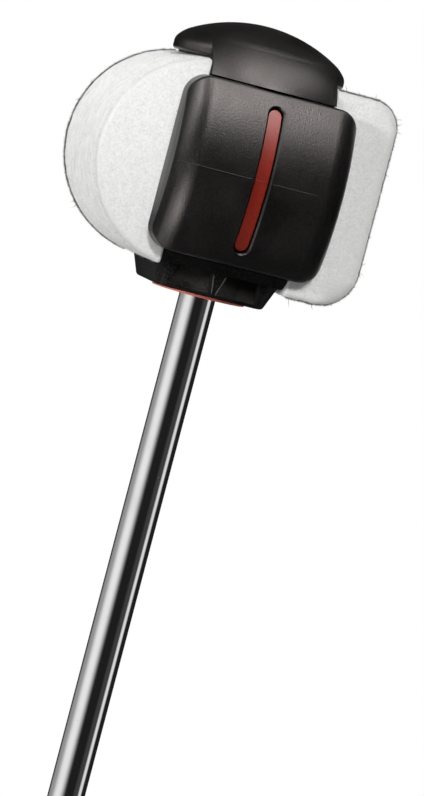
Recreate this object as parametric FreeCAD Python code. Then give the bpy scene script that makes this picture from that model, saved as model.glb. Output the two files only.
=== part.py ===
"""Two-sided felt bass drum beater: a chromed shaft carries a head with a rounded felt on one side and a flat felt on
the other, held between a domed cap and a skirt, with a push-on weight cover on each face.

Millimetres, +Z up along the shaft, origin on the shaft's axis at the middle of the length that a pedal clamps. The
rounded felt faces -X, the flat felt +X, and the covers face -Y and +Y. Every piece is drawn about the head's centre and
lifted at the end.
"""

import FreeCAD, Part
import math
import os

# Fits
FIT_GAP = 0.05
PARTING_GAP = 0.35
OVERRUN = 4.0

# Shaft and the pin across it
SHAFT_DIAMETER = 8.0
SHAFT_FREE_LENGTH = 165.0
SHAFT_CLAMP_HEIGHT = 20.0
SHAFT_SHOULDER = 0.3
SHAFT_CHAMFER = 0.8
SHAFT_SEAT_ABOVE_CENTRE = 13.0
CROSS_PIN_DIAMETER = 3.0
CROSS_PIN_END_CHAMFER = 0.3
CROSS_PIN_RECESS = 0.4

# Core block
CORE_END_INSET = 0.8
CORE_EDGE_CHAMFER = 0.6
RELIEF_DEPTH = 4.6
RELIEF_WIDTH = 11.0
RELIEF_HEIGHT = 8.6
RELIEF_CENTRE_HEIGHT = 11.2

# Neck of the frame, which stands between the two felts
NECK_WIDTH = 28.0
STRAP_SIDE_INSET = 0.1
STRAP_THICKNESS = 2.7
STRAP_FACE_INSET = 0.15
STRAP_END_HEIGHT = 4.0

# Felts and their backing plates
FELT_DEPTH = 34.6
DOME_EDGE_RADIUS = 0.9
FLAT_EDGE_RADIUS = 1.8
FELT_TUCK_GAP = 0.25
DOME_RADIUS = 22.5
DOME_REACH = 33.5
FLAT_EXTRA_HEIGHT = 0.4
FLAT_REACH = 29.1
FLAT_TOP_CORNER_RADIUS = 6.2
FLAT_BOTTOM_CORNER_RADIUS = 8.4
PLATE_EDGE_INSET = 0.3
PLATE_THICKNESS = 3.6
TONGUE_STEP = 1.6
TONGUE_HEIGHT = 2.4
TONGUE_DEPTH = 25.0

# Cap
CAP_RISE = 9.3
CAP_DOME_RADIUS = 32.0
CAP_SHOULDER_RADIUS = 8.0
CAP_DOME_ANGLE = 30.0
CAP_FLARE_ANGLE = 58.0
CAP_RIM_LEDGE = 0.05
CAP_WALL = 2.6
CAP_HOLLOW_RADIUS = 13.5
CAP_HOLLOW_SIDE_WALL = 2.0
CAP_RIM_TOP_RADIUS = 2.4
CAP_RIM_EDGE_RADIUS = 0.7
CAP_NECK_START_ANGLE = 25.0
CAP_NECK_FOOT_ANGLE = 64.0

# Skirt
SKIRT_FELT_GAP = 0.1
SKIRT_TOP_DEPTH = 28.8
SKIRT_TOP_CORNER = 4.2
SKIRT_BOTTOM_WIDTH = 24.4
SKIRT_BOTTOM_DEPTH = 24.4
SKIRT_BOTTOM_CORNER = 3.8
SKIRT_FLARE_HEIGHT = 2.35
SKIRT_FOOT_HEIGHT = 5.4
SKIRT_EDGE_RADIUS = 0.9
SKIRT_POCKET_BOSS_RADIUS = 10.2
SKIRT_POCKET_FLOOR = 8.2
SKIRT_POCKET_SILL = 0.7
SKIRT_POCKET_TOP_HALF = 9.2
SKIRT_POCKET_BOTTOM_HALF = 10.4
SKIRT_RIB_TOP_HALF = 1.4
SKIRT_RIB_BOTTOM_HALF = 0.4

# Bush round the shaft
BUSH_DIAMETER = 13.0
BUSH_FLANGE_DIAMETER = 20.4
BUSH_FLANGE_THICKNESS = 1.0
BUSH_FLANGE_SHOWING = 0.6

# Strap screws
SCREW_DIAMETER = 3.0
SCREW_HEAD_DIAMETER = 5.6
SCREW_HEAD_HEIGHT = 1.6
SCREW_LENGTH = 10.0
SCREW_HEAD_SIDE_WALL = 1.0
SCREW_CENTRE_HEIGHT = 11.0
SCREW_DRIVE_WIDTH = 0.9
SCREW_DRIVE_LENGTH = 3.2
SCREW_DRIVE_DEPTH = 0.8

# Side covers
COVER_OVERHANG = 0.07
COVER_HEIGHT = 37.6
COVER_DEPTH = 10.85
COVER_BULGE_RADIUS = 38.0
COVER_SIDE_RADIUS = 5.3
COVER_SIDE_TRIM = 0.2
COVER_CORNER_RADIUS = 4.8
COVER_EDGE_RADIUS = 1.2
COVER_WALL = 2.2
SLOT_END_WALL = 3.0
SLOT_WIDTH = 3.3
SLOT_EDGE_CHAMFER = 0.35
PEG_DIAMETER = 4.0
PEG_SIDE_WALL = 0.9
PEG_ENGAGEMENT = 6.0
PEG_SOCKET_SPARE = 0.6
PEG_END_CHAMFER = 0.4

# Weight carriers, weights and pads inside the covers
PAD_THICKNESS = 1.1
PAD_INSET = 2.0
CARRIER_THICKNESS = 1.4
CARRIER_CORNER_RADIUS = 2.6
BAR_SIDE_GAP = 0.25
BAR_END_GAP = 0.6
BAR_RECESS = 1.1
WEIGHT_HEIGHT = 23.0
WEIGHT_FACE_GAP = 0.5
WEIGHT_BAR_GAP = 0.6
WEIGHT_SIDE_GAP = 0.6
WEIGHT_CORNER_RADIUS = 1.5
WEIGHT_PEG_GAP = 0.2

# Heights and depths that follow from the sizes above
STRAP_FACE = FELT_DEPTH / 2 - STRAP_FACE_INSET
STRAP_BACK = STRAP_FACE - STRAP_THICKNESS
CORE_DEPTH = STRAP_BACK + STRAP_BACK - FIT_GAP - FIT_GAP
CORE_HEIGHT = COVER_HEIGHT - CORE_END_INSET - CORE_END_INSET
COVER_BACK = FELT_DEPTH / 2 + PARTING_GAP
COVER_REACH = COVER_BACK + COVER_DEPTH
CARRIER_BACK = COVER_BACK + PAD_THICKNESS
CARRIER_FACE = CARRIER_BACK + CARRIER_THICKNESS
CORE_WIDTH = NECK_WIDTH - PLATE_THICKNESS - PLATE_THICKNESS
STRAP_WIDTH = CORE_WIDTH - STRAP_SIDE_INSET - STRAP_SIDE_INSET
SCREW_SPACING = STRAP_WIDTH - SCREW_HEAD_DIAMETER - SCREW_HEAD_SIDE_WALL - SCREW_HEAD_SIDE_WALL
PEG_SPACING = CORE_WIDTH - PEG_DIAMETER - PEG_SIDE_WALL - PEG_SIDE_WALL
TONGUE_THICKNESS = PLATE_THICKNESS - TONGUE_STEP
FELT_BACK = NECK_WIDTH / 2 + FIT_GAP
FLAT_HEIGHT = DOME_RADIUS + DOME_RADIUS + FLAT_EXTRA_HEIGHT
PLATE_BACK = CORE_WIDTH / 2 + FIT_GAP
PLATE_HEIGHT = CORE_HEIGHT
PLATE_DEPTH = FELT_DEPTH - PLATE_EDGE_INSET - PLATE_EDGE_INSET
BODY_JOINT_HEIGHT = CORE_HEIGHT / 2 + FIT_GAP
NECK_FOOT_HEIGHT = COVER_HEIGHT / 2 + PARTING_GAP
CAP_APEX_HEIGHT = FLAT_HEIGHT / 2 + CAP_RISE
CAP_HUB_RADIUS = (CAP_DOME_RADIUS - CAP_SHOULDER_RADIUS) * math.sin(math.radians(CAP_DOME_ANGLE))
CAP_SHOULDER_END = CAP_HUB_RADIUS + CAP_SHOULDER_RADIUS * math.sin(math.radians(CAP_FLARE_ANGLE))
CAP_RIM_RADIUS = CAP_SHOULDER_END + CAP_RIM_LEDGE
CAP_HOLLOW_WIDTH = CORE_WIDTH - CAP_HOLLOW_SIDE_WALL - CAP_HOLLOW_SIDE_WALL
COVER_WIDTH = CAP_RIM_RADIUS + CAP_RIM_RADIUS + COVER_OVERHANG + COVER_OVERHANG
SLOT_LENGTH = COVER_HEIGHT - SLOT_END_WALL - SLOT_END_WALL
SKIRT_TOP_WIDTH = NECK_WIDTH - SKIRT_FELT_GAP - SKIRT_FELT_GAP
SKIRT_LIP_DROP = NECK_FOOT_HEIGHT + SKIRT_FLARE_HEIGHT
SKIRT_BOTTOM_DROP = SKIRT_LIP_DROP + SKIRT_FOOT_HEIGHT
BUSH_FOOT_DROP = SKIRT_BOTTOM_DROP + BUSH_FLANGE_SHOWING
SHAFT_FOOT_DROP = BUSH_FOOT_DROP + SHAFT_FREE_LENGTH
HEAD_HEIGHT = SHAFT_FOOT_DROP - SHAFT_CLAMP_HEIGHT
SHAFT_SEAT_DIAMETER = SHAFT_DIAMETER - SHAFT_SHOULDER - SHAFT_SHOULDER
SEAT_BORE_DIAMETER = SHAFT_SEAT_DIAMETER + FIT_GAP + FIT_GAP
BAR_HALF_WIDTH = SLOT_WIDTH / 2 - BAR_SIDE_GAP
WEIGHT_INNER_SIDE = BAR_HALF_WIDTH + WEIGHT_BAR_GAP
WEIGHT_OUTER_SIDE = COVER_WIDTH / 2 - COVER_SIDE_RADIUS - WEIGHT_SIDE_GAP

V = FreeCAD.Vector
X_AXIS, Y_AXIS, Z_AXIS = V(1, 0, 0), V(0, 1, 0), V(0, 0, 1)


def box(x0, x1, y0, y1, z0, z1):
    """Box between two corners."""
    return Part.makeBox(x1 - x0, y1 - y0, z1 - z0, V(x0, y0, z0))


def slab(width, depth, z0, z1):
    """Box centred on the shaft's axis."""
    return box(-width / 2, width / 2, -depth / 2, depth / 2, z0, z1)


def rod_y(diameter, x, z, y0, y1):
    """Cylinder along Y."""
    return Part.makeCylinder(diameter / 2, y1 - y0, V(x, y0, z), Y_AXIS)


def rod_z(diameter, z0, z1):
    """Cylinder on the shaft's axis."""
    return Part.makeCylinder(diameter / 2, z1 - z0, V(0, 0, z0), Z_AXIS)


def edges_along(shape, direction):
    """Straight edges of a shape that run along a direction."""
    straight = [e for e in shape.Edges if len(e.Vertexes) == 2]
    runs = [(e, e.Vertexes[1].Point - e.Vertexes[0].Point) for e in straight]
    return [e for e, run in runs if abs(run.normalize().dot(direction)) > math.cos(math.radians(1))]


def face_prism(points, direction):
    """Prism on a closed outline of points."""
    return Part.Face(Part.makePolygon(points + points[:1])).extrude(direction)


def both_faces(shape):
    """A shape drawn on the -Y side, with its twin turned round to the +Y side."""
    twin = shape.copy()
    twin.rotate(V(0, 0, 0), Z_AXIS, 180)
    return [shape, twin]


def cut_all(shape, tools):
    """Shape with every tool taken away."""
    return shape.cut(tools) if tools else shape


def beater_shaft():
    """Rod with a chamfered lower end, a shoulder under the bush and a thinner seat up in the core."""
    rod = rod_z(SHAFT_DIAMETER, -SHAFT_FOOT_DROP, -BUSH_FOOT_DROP)
    rod = rod.makeChamfer(SHAFT_CHAMFER, [e for e in rod.Edges if e.Closed and e.BoundBox.ZMax < -HEAD_HEIGHT])
    seat = rod_z(SHAFT_SEAT_DIAMETER, -BUSH_FOOT_DROP - OVERRUN, SHAFT_SEAT_ABOVE_CENTRE)
    return rod.fuse(seat).removeSplitter().cut(cross_hole())


def cross_hole():
    """Hole for the cross pin, along X through the head's centre."""
    reach = CORE_WIDTH / 2 + OVERRUN
    bore = CROSS_PIN_DIAMETER / 2 + FIT_GAP
    return Part.makeCylinder(bore, reach + reach, V(-reach, 0, 0), X_AXIS)


def shaft_cross_pin():
    """Plain steel pin, a little shorter than the core is wide."""
    half = CORE_WIDTH / 2 - CROSS_PIN_RECESS
    pin = Part.makeCylinder(CROSS_PIN_DIAMETER / 2, half + half, V(-half, 0, 0), X_AXIS)
    return pin.makeChamfer(CROSS_PIN_END_CHAMFER, [e for e in pin.Edges if e.Closed])


def core_block():
    """Block that takes the shaft, the cross pin, the strap screws and the cover pegs."""
    core = slab(CORE_WIDTH, CORE_DEPTH, -CORE_HEIGHT / 2, CORE_HEIGHT / 2)
    core = core.makeChamfer(CORE_EDGE_CHAMFER, edges_along(core, Z_AXIS))
    bore = rod_z(SEAT_BORE_DIAMETER, -CORE_HEIGHT, SHAFT_SEAT_ABOVE_CENTRE + FIT_GAP)
    tools = [bore, cross_hole()]
    for side in (-1, 1):
        inner, outer = CORE_WIDTH / 2 - RELIEF_DEPTH, CORE_WIDTH / 2 + OVERRUN
        x0, x1 = sorted((side * inner, side * outer))
        for centre in (-RELIEF_CENTRE_HEIGHT, RELIEF_CENTRE_HEIGHT):
            z0, z1 = centre - RELIEF_HEIGHT / 2, centre + RELIEF_HEIGHT / 2
            tools.append(box(x0, x1, -RELIEF_WIDTH / 2, RELIEF_WIDTH / 2, z0, z1))
        socket_end = -CORE_DEPTH / 2 + PEG_ENGAGEMENT + PEG_SOCKET_SPARE
        socket = rod_y(PEG_DIAMETER + FIT_GAP + FIT_GAP, side * PEG_SPACING / 2, 0, -CORE_DEPTH, socket_end)
        tools += both_faces(socket)
    for height in (-SCREW_CENTRE_HEIGHT, SCREW_CENTRE_HEIGHT):
        tools += screw_holes(height)
    return cut_all(core, tools)


def screw_holes(height):
    """Clearance for the four countersunk screws at one height, two on each face."""
    holes = []
    for side in (-1, 1):
        x, tip = side * SCREW_SPACING / 2, -STRAP_FACE + SCREW_LENGTH + FIT_GAP
        shank = rod_y(SCREW_DIAMETER + FIT_GAP + FIT_GAP, x, height, -STRAP_FACE, tip)
        head = screw_head(x, height, FIT_GAP)
        holes += both_faces(shank.fuse(head))
    return holes


def screw_head(x, height, gap):
    """Countersunk head, flush with the strap, grown by a gap all round."""
    wide, narrow = SCREW_HEAD_DIAMETER / 2 + gap, SCREW_DIAMETER / 2 + gap
    return Part.makeCone(wide, narrow, SCREW_HEAD_HEIGHT, V(x, -STRAP_FACE, height), Y_AXIS)


def strap_screws(height):
    """Four countersunk screws with a plain slot in the head."""
    screws = []
    for side in (-1, 1):
        x = side * SCREW_SPACING / 2
        shank = rod_y(SCREW_DIAMETER, x, height, -STRAP_FACE, -STRAP_FACE + SCREW_LENGTH)
        screw = shank.fuse(screw_head(x, height, 0)).removeSplitter()
        half_long, half_wide = SCREW_DRIVE_LENGTH / 2, SCREW_DRIVE_WIDTH / 2
        floor = -STRAP_FACE + SCREW_DRIVE_DEPTH
        slot = box(x - half_long, x + half_long, -STRAP_FACE - OVERRUN, floor, height - half_wide, height + half_wide)
        screws += both_faces(screw.cut(slot))
    return Part.makeCompound(screws)


def straps(z0, z1):
    """The two straps that lie on the core's front and back, between two heights."""
    return both_faces(box(-STRAP_WIDTH / 2, STRAP_WIDTH / 2, -STRAP_FACE, -STRAP_BACK, z0, z1))


def tongue_grooves(z0, z1):
    """Grooves for the backing plates' tongues, between two heights."""
    inner, outer = PLATE_BACK - FIT_GAP, PLATE_BACK + TONGUE_THICKNESS + FIT_GAP
    half = TONGUE_DEPTH / 2 + FIT_GAP
    return [box(inner, outer, -half, half, z0, z1), box(-outer, -inner, -half, half, z0, z1)]


def cap_dome():
    """Solid of revolution under the domed top of the wings, down to the neck's foot."""
    dome, flare = math.radians(CAP_DOME_ANGLE), math.radians(CAP_FLARE_ANGLE)
    base = CAP_APEX_HEIGHT - CAP_DOME_RADIUS
    start = V(CAP_DOME_RADIUS * math.sin(dome), 0, base + CAP_DOME_RADIUS * math.cos(dome))
    hub = V(CAP_HUB_RADIUS, 0, base + (CAP_DOME_RADIUS - CAP_SHOULDER_RADIUS) * math.cos(dome))

    def on_shoulder(angle):
        return hub + V(CAP_SHOULDER_RADIUS * math.sin(angle), 0, CAP_SHOULDER_RADIUS * math.cos(angle))

    end = on_shoulder(flare)
    foot = V(end.x + (end.z - NECK_FOOT_HEIGHT) / math.tan(flare), 0, NECK_FOOT_HEIGHT)
    apex, centre = V(0, 0, CAP_APEX_HEIGHT), V(0, 0, NECK_FOOT_HEIGHT)
    crown = V(CAP_DOME_RADIUS * math.sin(dome / 2), 0, base + CAP_DOME_RADIUS * math.cos(dome / 2))
    outline = [
        Part.Arc(apex, crown, start).toShape(),
        Part.Arc(start, on_shoulder((dome + flare) / 2), end).toShape(),
        Part.makeLine(end, foot),
        Part.makeLine(foot, centre),
        Part.makeLine(centre, apex),
    ]
    return Part.Face(Part.Wire(outline)).revolve(V(0, 0, 0), Z_AXIS, 360)


def cap_neck():
    """Solid of revolution under the domed top where it sweeps down in front, to the neck's foot, in one even curve."""
    start, foot = math.radians(CAP_NECK_START_ANGLE), math.radians(CAP_NECK_FOOT_ANGLE)
    base = CAP_APEX_HEIGHT - CAP_DOME_RADIUS
    fall = CAP_DOME_RADIUS * math.cos(start) + base - NECK_FOOT_HEIGHT
    sweep = fall / (math.cos(start) - math.cos(foot))
    inset = CAP_DOME_RADIUS - sweep
    hub = V(inset * math.sin(start), 0, base + inset * math.cos(start))

    def on_dome(angle):
        return V(CAP_DOME_RADIUS * math.sin(angle), 0, base + CAP_DOME_RADIUS * math.cos(angle))

    def on_sweep(angle):
        return hub + V(sweep * math.sin(angle), 0, sweep * math.cos(angle))

    apex, centre = on_dome(0), V(0, 0, NECK_FOOT_HEIGHT)
    outline = [
        Part.Arc(apex, on_dome(start / 2), on_dome(start)).toShape(),
        Part.Arc(on_dome(start), on_sweep((start + foot) / 2), on_sweep(foot)).toShape(),
        Part.makeLine(on_sweep(foot), centre),
        Part.makeLine(centre, apex),
    ]
    return Part.Face(Part.Wire(outline)).revolve(V(0, 0, 0), Z_AXIS, 360)


def felt_back_half_height():
    """Half height of the rounded felt where it meets the neck."""
    return math.sqrt(DOME_RADIUS**2 - (DOME_REACH - DOME_RADIUS - FELT_BACK) ** 2)


def rim_edges(wing):
    """Lower and upper round edges of a wing's rim."""
    level = [e for e in wing.Edges if e.BoundBox.ZLength < FIT_GAP < e.BoundBox.XLength]
    rim = [e for e in level if all(abs(math.hypot(v.X, v.Y) - CAP_RIM_RADIUS) < FIT_GAP for v in e.Vertexes)]
    rim.sort(key=lambda edge: edge.BoundBox.ZMin)
    return rim[0], rim[-1]


def rounded_wing(wing):
    """Wing with its lower rim edge eased and its upper one rounded into the domed top."""
    wing = wing.makeFillet(CAP_RIM_TOP_RADIUS, [rim_edges(wing)[1]])
    return wing.makeFillet(CAP_RIM_EDGE_RADIUS, [rim_edges(wing)[0]])


def top_cap():
    """Domed cap: round wings over both felts, a swept neck in between and two straps down the core."""
    dome = cap_dome()
    neck = cap_neck().common(slab(NECK_WIDTH, COVER_REACH + COVER_REACH, 0, CAP_APEX_HEIGHT + OVERRUN))
    top, reach = CAP_APEX_HEIGHT + OVERRUN, CAP_RIM_RADIUS + OVERRUN
    disc = dome.common(rod_z(CAP_RIM_RADIUS + CAP_RIM_RADIUS, 0, top))
    dome_wing = box(-reach, 0, -reach, reach, felt_back_half_height() + FELT_TUCK_GAP, top)
    flat_wing = box(0, reach, -reach, reach, FLAT_HEIGHT / 2 + FELT_TUCK_GAP, top)
    wings = [disc.common(dome_wing), disc.common(flat_wing)]
    wings = [rounded_wing(wing) for wing in wings]
    foot = slab(NECK_WIDTH, STRAP_FACE + STRAP_FACE, BODY_JOINT_HEIGHT, NECK_FOOT_HEIGHT + FIT_GAP)
    cap = neck.fuse(wings + [foot] + straps(STRAP_END_HEIGHT, BODY_JOINT_HEIGHT + OVERRUN)).removeSplitter()
    inner = CAP_DOME_RADIUS - CAP_WALL
    ball = Part.makeSphere(inner, V(0, 0, CAP_APEX_HEIGHT - CAP_DOME_RADIUS))
    well = rod_z(CAP_HOLLOW_RADIUS + CAP_HOLLOW_RADIUS, 0, top)
    hollow = ball.common(well).common(slab(CAP_HOLLOW_WIDTH, COVER_REACH, BODY_JOINT_HEIGHT - FIT_GAP, top))
    grooves = tongue_grooves(BODY_JOINT_HEIGHT - FIT_GAP, PLATE_HEIGHT / 2 + TONGUE_HEIGHT + FIT_GAP)
    return cut_all(cap, [hollow] + grooves + screw_holes(SCREW_CENTRE_HEIGHT))


def rounded_slab(width, depth, corner, z0, z1):
    """Upright block with rounded upright edges."""
    block = slab(width, depth, z0, z1)
    return block.makeFillet(corner, edges_along(block, Z_AXIS))


def rounded_outline(width, depth, corner, z):
    """Closed outline of a rounded rectangle at one height."""
    block = rounded_slab(width, depth, corner, z, z + OVERRUN)
    return min(block.Faces, key=lambda face: face.CenterOfMass.z).OuterWire


def skirt_pockets():
    """Pockets on the skirt's front and back, either side of a rib that narrows downwards."""
    top, bottom = -SKIRT_LIP_DROP, -SKIRT_BOTTOM_DROP + SKIRT_POCKET_SILL
    boss = rod_z(SKIRT_POCKET_BOSS_RADIUS + SKIRT_POCKET_BOSS_RADIUS, -SKIRT_BOTTOM_DROP - OVERRUN, OVERRUN)
    pockets = []
    for side in (-1, 1):
        outline = [
            V(side * SKIRT_RIB_TOP_HALF, -FELT_DEPTH, top),
            V(side * SKIRT_POCKET_TOP_HALF, -FELT_DEPTH, top),
            V(side * SKIRT_POCKET_BOTTOM_HALF, -FELT_DEPTH, bottom),
            V(side * SKIRT_RIB_BOTTOM_HALF, -FELT_DEPTH, bottom),
        ]
        pocket = face_prism(outline, V(0, FELT_DEPTH - SKIRT_POCKET_FLOOR, 0))
        pockets += both_faces(pocket.cut(boss))
    return pockets


def bottom_skirt():
    """Skirt: a tapered foot under both felts, a flared neck and two straps up the core."""
    top = rounded_outline(SKIRT_TOP_WIDTH, SKIRT_TOP_DEPTH, SKIRT_TOP_CORNER, -SKIRT_LIP_DROP)
    bottom = rounded_outline(SKIRT_BOTTOM_WIDTH, SKIRT_BOTTOM_DEPTH, SKIRT_BOTTOM_CORNER, -SKIRT_BOTTOM_DROP)
    foot = Part.makeLoft([bottom, top], True, True)
    rim = [e for e in foot.Edges if e.BoundBox.ZMax < -SKIRT_BOTTOM_DROP + FIT_GAP]
    foot = foot.makeFillet(SKIRT_EDGE_RADIUS, rim)
    half_top, half_neck = SKIRT_TOP_DEPTH / 2, SKIRT_TOP_WIDTH / 2
    flare = [
        V(-half_neck, -STRAP_FACE, -NECK_FOOT_HEIGHT),
        V(-half_neck, STRAP_FACE, -NECK_FOOT_HEIGHT),
        V(-half_neck, half_top, -SKIRT_LIP_DROP),
        V(-half_neck, -half_top, -SKIRT_LIP_DROP),
    ]
    neck = face_prism(flare, V(SKIRT_TOP_WIDTH, 0, 0))
    seat = slab(SKIRT_TOP_WIDTH, STRAP_FACE + STRAP_FACE, -NECK_FOOT_HEIGHT - FIT_GAP, -BODY_JOINT_HEIGHT)
    skirt = foot.fuse([neck, seat] + straps(-BODY_JOINT_HEIGHT - FIT_GAP, -STRAP_END_HEIGHT)).removeSplitter()
    low = -SKIRT_BOTTOM_DROP - OVERRUN
    flange_top = -BUSH_FOOT_DROP + BUSH_FLANGE_THICKNESS + FIT_GAP
    bore = rod_z(BUSH_DIAMETER + FIT_GAP + FIT_GAP, low, 0)
    counterbore = rod_z(BUSH_FLANGE_DIAMETER + FIT_GAP + FIT_GAP, low, flange_top)
    grooves = tongue_grooves(-PLATE_HEIGHT / 2 - TONGUE_HEIGHT - FIT_GAP, -BODY_JOINT_HEIGHT + FIT_GAP)
    tools = [bore, counterbore] + grooves + skirt_pockets() + screw_holes(-SCREW_CENTRE_HEIGHT)
    return cut_all(skirt, tools)


def shaft_bush():
    """Flanged bush round the shaft, its rim just showing under the skirt."""
    top = -BODY_JOINT_HEIGHT
    sleeve = rod_z(BUSH_DIAMETER, -BUSH_FOOT_DROP, top)
    flange = rod_z(BUSH_FLANGE_DIAMETER, -BUSH_FOOT_DROP, -BUSH_FOOT_DROP + BUSH_FLANGE_THICKNESS)
    bore = rod_z(SEAT_BORE_DIAMETER, -BUSH_FOOT_DROP - OVERRUN, 0)
    return sleeve.fuse(flange).removeSplitter().cut(bore)


def soften(felt, radius):
    """Felt with its front and back outline rounded."""
    half = FELT_DEPTH / 2
    outline = [e for e in felt.Edges if abs(abs(e.BoundBox.Center.y) - half) < FIT_GAP and e.BoundBox.YLength < FIT_GAP]
    return felt.makeFillet(radius, [e for e in outline if abs(e.BoundBox.Center.x) > FELT_BACK + FIT_GAP])


def dome_felt():
    """Half-disc felt block that faces -X."""
    half = FELT_DEPTH / 2
    disc = rod_y(DOME_RADIUS + DOME_RADIUS, DOME_RADIUS - DOME_REACH, 0, -half, half)
    block = disc.common(box(-DOME_REACH - OVERRUN, -FELT_BACK, -half, half, -DOME_RADIUS, DOME_RADIUS))
    return soften(block, DOME_EDGE_RADIUS)


def flat_felt():
    """Flat-faced felt block that faces +X, with its upper and lower front edges rounded."""
    half = FELT_DEPTH / 2
    block = box(FELT_BACK, FLAT_REACH, -half, half, -FLAT_HEIGHT / 2, FLAT_HEIGHT / 2)
    front = [e for e in edges_along(block, Y_AXIS) if e.BoundBox.Center.x > FELT_BACK + FIT_GAP]
    front.sort(key=lambda edge: edge.BoundBox.ZMin)
    block = block.makeFillet(FLAT_BOTTOM_CORNER_RADIUS, [front[0]])
    front = [e for e in edges_along(block, Y_AXIS) if e.BoundBox.Center.x > FLAT_REACH - FIT_GAP]
    front.sort(key=lambda edge: edge.BoundBox.ZMin)
    return soften(block.makeFillet(FLAT_TOP_CORNER_RADIUS, [front[-1]]), FLAT_EDGE_RADIUS)


def backing_plate():
    """Board behind a felt, on the +X side, with a tongue at its top and bottom."""
    half, high = PLATE_DEPTH / 2, PLATE_HEIGHT / 2
    board = box(PLATE_BACK, FELT_BACK, -half, half, -high, high)
    reach = high + TONGUE_HEIGHT
    deep = TONGUE_DEPTH / 2
    tongue = box(PLATE_BACK, PLATE_BACK + TONGUE_THICKNESS, -deep, deep, -reach, reach)
    return board.fuse(tongue).removeSplitter()


def bulge(radius, overhang):
    """Cylinder along X whose crest is the cover's bulged face when the radius is the cover's."""
    half = COVER_WIDTH / 2 + overhang
    return Part.makeCylinder(radius, half + half, V(-half, COVER_BULGE_RADIUS - COVER_REACH, 0), X_AXIS)


def cover_blank(inset, side_radius, corner_radius):
    """Bulged block with wide side edges and rounded corners, drawn in by an inset on every visible side."""
    half_wide, half_high = COVER_WIDTH / 2 - inset, COVER_HEIGHT / 2 - inset
    untrimmed = half_wide + COVER_SIDE_TRIM
    block = box(-untrimmed, untrimmed, -COVER_REACH, -COVER_BACK, -half_high, half_high)
    block = block.common(bulge(COVER_BULGE_RADIUS - inset, OVERRUN))
    arcs = [e for e in block.Edges if e.BoundBox.XLength < FIT_GAP < e.BoundBox.ZLength]
    block = block.makeFillet(side_radius, [e for e in arcs if e.BoundBox.YMax < -COVER_BACK - FIT_GAP])
    prism = box(-half_wide, half_wide, -COVER_REACH - OVERRUN, 0, -half_high, half_high)
    return block.common(prism.makeFillet(corner_radius, edges_along(prism, Y_AXIS)))


def round_ended_bar(half_wide, half_high, y0, y1):
    """Upright round-ended prism along Y."""
    centre = half_high - half_wide
    ends = [rod_y(half_wide + half_wide, 0, z, y0, y1) for z in (-centre, centre)]
    return box(-half_wide, half_wide, y0, y1, -centre, centre).fuse(ends).removeSplitter()


def inside_mouth(edge):
    """Whether an edge lies on the slot's outline."""
    bounds = edge.BoundBox
    return max(-bounds.XMin, bounds.XMax) < SLOT_WIDTH / 2 + FIT_GAP and bounds.ZMax < SLOT_LENGTH / 2 + FIT_GAP


def front_cover():
    """Shell with a slot through its face and two pegs that push into the core."""
    blank = cover_blank(0, COVER_SIDE_RADIUS, COVER_CORNER_RADIUS)
    rim = [e for e in blank.Edges if e.BoundBox.YMax < -COVER_BACK - FIT_GAP]
    shell = blank.makeFillet(COVER_EDGE_RADIUS, rim)
    hollow = cover_blank(COVER_WALL, COVER_SIDE_RADIUS - COVER_WALL, COVER_CORNER_RADIUS - COVER_WALL)
    slotted = shell.cut(round_ended_bar(SLOT_WIDTH / 2, SLOT_LENGTH / 2, -COVER_REACH - OVERRUN, -COVER_BACK))
    lips = [e for e in slotted.Edges if inside_mouth(e) and e.BoundBox.YMax < -COVER_BACK - FIT_GAP]
    slotted = slotted.makeChamfer(SLOT_EDGE_CHAMFER, lips)
    pegs = []
    for side in (-1, 1):
        tip = -CORE_DEPTH / 2 + PEG_ENGAGEMENT
        peg = rod_y(PEG_DIAMETER, side * PEG_SPACING / 2, 0, -COVER_REACH + COVER_WALL / 2, tip)
        end = [e for e in peg.Edges if e.Closed and e.BoundBox.YMin > tip - FIT_GAP]
        pegs.append(peg.makeChamfer(PEG_END_CHAMFER, end))
    return slotted.cut(hollow).fuse(pegs).removeSplitter()


def peg_holes(gap):
    """Holes that pass the cover's two pegs with a gap round each."""
    return [
        rod_y(PEG_DIAMETER + gap + gap, side * PEG_SPACING / 2, 0, -COVER_REACH - OVERRUN, 0) for side in (-1, 1)
    ]


def carrier_outline(inset, corner, y0, y1):
    """Plate with rounded corners that fits inside the cover, drawn in by an inset."""
    half_wide, half_high = COVER_WIDTH / 2 - COVER_WALL - inset, COVER_HEIGHT / 2 - COVER_WALL - inset
    plate = box(-half_wide, half_wide, y0, y1, -half_high, half_high)
    return plate.makeFillet(corner, edges_along(plate, Y_AXIS))


def front_weight_carrier():
    """Plate that closes the cover, with the curved bar that shows in the cover's slot."""
    plate = carrier_outline(FIT_GAP, CARRIER_CORNER_RADIUS, -CARRIER_FACE, -CARRIER_BACK)
    bar = round_ended_bar(BAR_HALF_WIDTH, SLOT_LENGTH / 2 - BAR_END_GAP, -COVER_REACH, -CARRIER_BACK)
    bar = bar.common(bulge(COVER_BULGE_RADIUS - BAR_RECESS, 0))
    return cut_all(plate.fuse(bar).removeSplitter(), peg_holes(FIT_GAP))


def front_weight(side):
    """Steel plate on one of the cover's pegs, to one side of the bar."""
    x0, x1 = sorted((side * WEIGHT_INNER_SIDE, side * WEIGHT_OUTER_SIDE))
    inside = math.sqrt((COVER_BULGE_RADIUS - COVER_WALL) ** 2 - (WEIGHT_HEIGHT / 2) ** 2)
    front = COVER_BULGE_RADIUS - COVER_REACH - inside + WEIGHT_FACE_GAP
    plate = box(x0, x1, front, -CARRIER_FACE - FIT_GAP, -WEIGHT_HEIGHT / 2, WEIGHT_HEIGHT / 2)
    plate = plate.makeFillet(WEIGHT_CORNER_RADIUS, edges_along(plate, Y_AXIS))
    return cut_all(plate, peg_holes(WEIGHT_PEG_GAP))


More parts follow.
